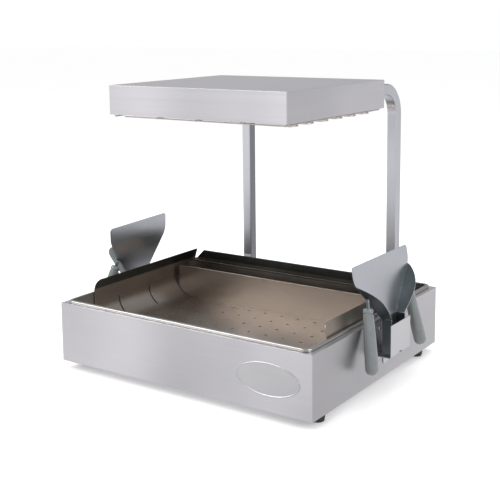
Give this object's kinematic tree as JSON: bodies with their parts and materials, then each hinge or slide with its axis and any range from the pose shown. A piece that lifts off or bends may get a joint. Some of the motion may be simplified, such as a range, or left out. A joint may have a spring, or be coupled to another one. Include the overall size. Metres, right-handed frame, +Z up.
{
  "type": "countertop chip warmer",
  "caption": "Heated stainless base with a lift-out pan, slotted chip bin, divider, carton rack and side-hung scoops under a heat hood on bent square posts.",
  "frame": {"origin": "Middle of the bounding box on the plane under the feet, where the warmer stands on the counter.", "axes": "+X runs along the front towards the side with the two-handled scoop, +Y from the front face to the posts at the rear, and +Z up."},
  "size_m": [0.7476, 0.6008, 0.643],
  "materials": {
    "case_steel": "satin",
    "panel_steel": "satin",
    "pan_steel": "bright drawn",
    "bin_steel": "polished",
    "holder_steel": "polished",
    "scoop_steel": "polished",
    "tube_steel": "satin",
    "fastener_steel": "machined",
    "guard_wire": "plated",
    "badge_metal": "bright",
    "spreader_aluminium": "mill",
    "reflector_aluminium": "polished",
    "element_sheath": "oxidised",
    "foot_rubber": "matte",
    "heater_silicone": "satin",
    "insulation_felt": "matte",
    "grip_plastic": "satin",
    "knob_plastic": "satin",
    "dark_moulding": "matte",
    "pale_moulding": "matte"
  },
  "bodies": {
    "warmer": {"base_shell": "case_steel", "floor_panel": "panel_steel", "floor_screws": "fastener_steel", "feet": "foot_rubber", "foot_screws": "fastener_steel", "foot_nuts": "fastener_steel", "badge_plate": "badge_metal", "heat_plate": "spreader_aluminium", "blanket_heater": "heater_silicone", "support_rails": "panel_steel", "insulation_pad": "insulation_felt", "control_plate": "panel_steel", "plate_screws": "fastener_steel", "thermostat_body": "dark_moulding", "switch_frame": "dark_moulding", "cord_gland": "dark_moulding", "gland_nut": "dark_moulding", "terminal_block": "pale_moulding", "post_left": "tube_steel", "post_right": "tube_steel", "post_plugs": "dark_moulding", "post_bolts": "fastener_steel", "nut_bars": "panel_steel", "hood_shell": "case_steel", "cross_bar": "panel_steel", "cross_bar_bolts": "fastener_steel", "cross_bar_nuts": "fastener_steel", "reflector": "reflector_aluminium", "hood_blanket": "insulation_felt", "hood_terminal_block": "pale_moulding", "heating_element_front": "element_sheath", "heating_element_rear": "element_sheath", "element_sleeves": "pale_moulding", "element_clips": "fastener_steel", "wire_guard": "guard_wire", "push_nuts": "fastener_steel", "scoop_holder_right": "holder_steel", "scoop_holder_left": "holder_steel", "holder_screws_right": "fastener_steel", "holder_screws_left": "fastener_steel"},
    "pan": {"hot_pan": "pan_steel"},
    "bin": {"bin_trough": "bin_steel"},
    "divider": {"bin_divider": "bin_steel"},
    "rack": {"carton_rack": "bin_steel"},
    "scoop_right": {"scoop_right_blade": "scoop_steel", "scoop_right_front_grip": "grip_plastic", "scoop_right_rear_grip": "grip_plastic"},
    "scoop_left": {"scoop_left_blade": "scoop_steel", "scoop_left_grip": "grip_plastic"},
    "knob": {"thermostat_knob": "knob_plastic", "thermostat_shaft": "fastener_steel"},
    "rocker": {"switch_rocker": "knob_plastic"}
  },
  "joints": [
    {"name": "pan_lift", "type": "slide", "parent": "warmer", "child": "pan", "axis": [0, 0, 1], "range_m": [0, 0.085]},
    {"name": "bin_lift", "type": "slide", "parent": "pan", "child": "bin", "axis": [0, 0, 1], "range_m": [0, 0.1]},
    {"name": "divider_lift", "type": "slide", "parent": "bin", "child": "divider", "axis": [0, 0, 1], "range_m": [0, 0.11]},
    {"name": "rack_lift", "type": "slide", "parent": "bin", "child": "rack", "axis": [0, 0, 1], "range_m": [0, 0.12]},
    {"name": "right_scoop_lift", "type": "slide", "parent": "warmer", "child": "scoop_right", "axis": [0, 0, 1], "range_m": [0, 0.12]},
    {"name": "left_scoop_lift", "type": "slide", "parent": "warmer", "child": "scoop_left", "axis": [0, 0, 1], "range_m": [0, 0.12]},
    {"name": "thermostat_turn", "type": "hinge", "parent": "warmer", "child": "knob", "pos_m": [-0.102, 0.27105, 0.058], "axis": [0, -1, 0], "range_deg": [0, 270]},
    {"name": "switch_rock", "type": "hinge", "parent": "warmer", "child": "rocker", "pos_m": [-0.02, 0.27105, 0.058], "axis": [1, 0, 0], "range_deg": [0, 9]}
  ]
}
